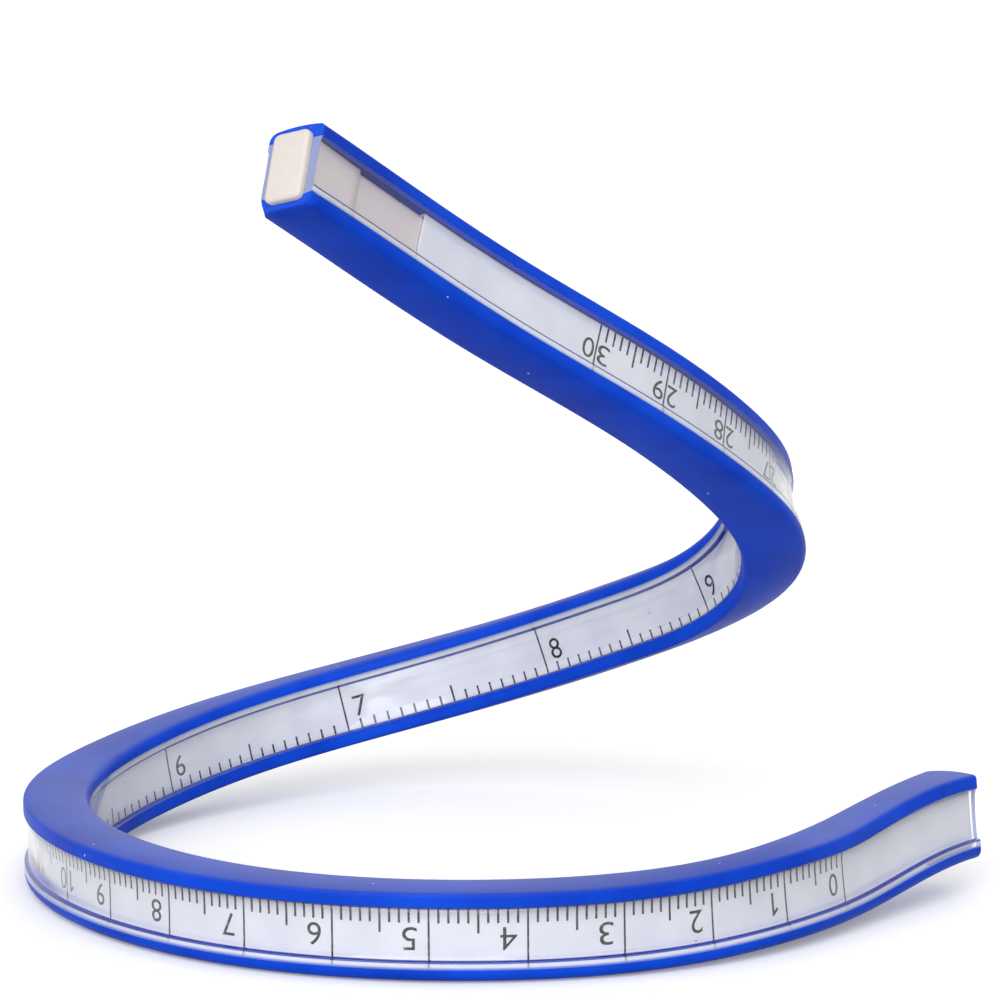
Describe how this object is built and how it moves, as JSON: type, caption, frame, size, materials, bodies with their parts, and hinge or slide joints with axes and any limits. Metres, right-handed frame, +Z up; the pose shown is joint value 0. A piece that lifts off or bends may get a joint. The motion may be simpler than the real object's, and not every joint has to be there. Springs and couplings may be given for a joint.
{
  "type": "flexible ruler",
  "caption": "Flexible curve ruler with a soft blue sheath, clear scale windows and a lead core, set in a rising coil that rests on its lower loop.",
  "frame": {"origin": "on the resting surface, under the middle of the coil's outer box", "axes": "+Z up from the surface that the lower loop rests on; +X along the longest side of the box, from the left bend towards the zero end; the view of the picture looks along +Y"},
  "size_m": [0.1032, 0.1006, 0.0848],
  "materials": {
    "blue_vinyl": "satin",
    "clear_vinyl": "satin, clear",
    "white_sleeve": "matte, printed",
    "white_plug": "matte",
    "lead_core": "dull grey"
  },
  "bodies": {
    "link_1": {"rail_upper_1": "blue_vinyl", "rail_lower_1": "blue_vinyl", "window_cm_1": "clear_vinyl", "window_inch_1": "clear_vinyl", "sleeve_1": "white_sleeve", "lead_bar_1": "lead_core", "plug_zero_end": "white_plug"},
    "link_2": {"rail_upper_2": "blue_vinyl", "rail_lower_2": "blue_vinyl", "window_cm_2": "clear_vinyl", "window_inch_2": "clear_vinyl", "sleeve_2": "white_sleeve", "lead_bar_2": "lead_core"},
    "link_3": {"rail_upper_3": "blue_vinyl", "rail_lower_3": "blue_vinyl", "window_cm_3": "clear_vinyl", "window_inch_3": "clear_vinyl", "sleeve_3": "white_sleeve", "lead_bar_3": "lead_core"},
    "link_4": {"rail_upper_4": "blue_vinyl", "rail_lower_4": "blue_vinyl", "window_cm_4": "clear_vinyl", "window_inch_4": "clear_vinyl", "sleeve_4": "white_sleeve", "lead_bar_4": "lead_core"},
    "link_5": {"rail_upper_5": "blue_vinyl", "rail_lower_5": "blue_vinyl", "window_cm_5": "clear_vinyl", "window_inch_5": "clear_vinyl", "sleeve_5": "white_sleeve", "lead_bar_5": "lead_core"},
    "link_6": {"rail_upper_6": "blue_vinyl", "rail_lower_6": "blue_vinyl", "window_cm_6": "clear_vinyl", "window_inch_6": "clear_vinyl", "sleeve_6": "white_sleeve", "lead_bar_6": "lead_core"},
    "link_7": {"rail_upper_7": "blue_vinyl", "rail_lower_7": "blue_vinyl", "window_cm_7": "clear_vinyl", "window_inch_7": "clear_vinyl", "sleeve_7": "white_sleeve", "lead_bar_7": "lead_core"},
    "link_8": {"rail_upper_8": "blue_vinyl", "rail_lower_8": "blue_vinyl", "window_cm_8": "clear_vinyl", "window_inch_8": "clear_vinyl", "sleeve_8": "white_sleeve", "lead_bar_8": "lead_core"},
    "link_9": {"rail_upper_9": "blue_vinyl", "rail_lower_9": "blue_vinyl", "window_cm_9": "clear_vinyl", "window_inch_9": "clear_vinyl", "sleeve_9": "white_sleeve", "lead_bar_9": "lead_core", "plug_far_end": "white_plug"}
  },
  "joints": [
    {"name": "bend_1_2", "type": "hinge", "parent": "link_2", "child": "link_1", "pos_m": [0.02532, -0.03635, 0.00514], "axis": [-0.0819, 0.042, 0.9958], "range_deg": [-50, 10], "deforming": ["rail_upper_1", "rail_lower_1", "window_cm_1", "window_inch_1", "sleeve_1", "lead_bar_1", "rail_upper_2", "rail_lower_2", "window_cm_2", "window_inch_2", "sleeve_2", "lead_bar_2"]},
    {"name": "bend_2_3", "type": "hinge", "parent": "link_3", "child": "link_2", "pos_m": [-0.01006, -0.046, 0.00476], "axis": [0.0009, -0.0011, 1], "range_deg": [-65, 10], "deforming": ["rail_upper_2", "rail_lower_2", "window_cm_2", "window_inch_2", "sleeve_2", "lead_bar_2", "rail_upper_3", "rail_lower_3", "window_cm_3", "window_inch_3", "sleeve_3", "lead_bar_3"]},
    {"name": "bend_3_4", "type": "hinge", "parent": "link_3", "child": "link_4", "pos_m": [-0.03888, -0.02614, 0.00481], "axis": [-0.0009, 0.0011, -1], "range_deg": [-50, 10], "deforming": ["rail_upper_3", "rail_lower_3", "window_cm_3", "window_inch_3", "sleeve_3", "lead_bar_3", "rail_upper_4", "rail_lower_4", "window_cm_4", "window_inch_4", "sleeve_4", "lead_bar_4"]},
    {"name": "bend_4_5", "type": "hinge", "parent": "link_4", "child": "link_5", "pos_m": [-0.04794, 0.00606, 0.00486], "axis": [0.0054, 0.0057, -1], "range_deg": [-55, 10], "deforming": ["rail_upper_4", "rail_lower_4", "window_cm_4", "window_inch_4", "sleeve_4", "lead_bar_4", "rail_upper_5", "rail_lower_5", "window_cm_5", "window_inch_5", "sleeve_5", "lead_bar_5"]},
    {"name": "bend_5_6", "type": "hinge", "parent": "link_5", "child": "link_6", "pos_m": [-0.03524, 0.03454, 0.00717], "axis": [0.178, 0.0075, -0.984], "range_deg": [-50, 10], "deforming": ["rail_upper_5", "rail_lower_5", "window_cm_5", "window_inch_5", "sleeve_5", "lead_bar_5", "rail_upper_6", "rail_lower_6", "window_cm_6", "window_inch_6", "sleeve_6", "lead_bar_6"]},
    {"name": "bend_6_7", "type": "hinge", "parent": "link_6", "child": "link_7", "pos_m": [-0.00953, 0.04624, 0.01257], "axis": [0.2669, -0.0786, -0.9605], "range_deg": [-70, 10], "deforming": ["rail_upper_6", "rail_lower_6", "window_cm_6", "window_inch_6", "sleeve_6", "lead_bar_6", "rail_upper_7", "rail_lower_7", "window_cm_7", "window_inch_7", "sleeve_7", "lead_bar_7"]},
    {"name": "lift_7_8", "type": "hinge", "parent": "link_7", "child": "link_8", "pos_m": [0.0151, 0.03297, 0.02233], "axis": [-0.6243, -0.777, -0.0805], "range_deg": [-20, 20], "deforming": ["rail_upper_7", "rail_lower_7", "window_cm_7", "window_inch_7", "sleeve_7", "lead_bar_7", "rail_upper_8", "rail_lower_8", "window_cm_8", "window_inch_8", "sleeve_8", "lead_bar_8"]},
    {"name": "bend_8_9", "type": "hinge", "parent": "link_8", "child": "link_9", "pos_m": [0.02956, 0.01039, 0.03763], "axis": [0.1566, -0.604, -0.7814], "range_deg": [-95, 8], "deforming": ["rail_upper_8", "rail_lower_8", "window_cm_8", "window_inch_8", "sleeve_8", "lead_bar_8", "rail_upper_9", "rail_lower_9", "window_cm_9", "window_inch_9", "sleeve_9", "lead_bar_9"]}
  ]
}
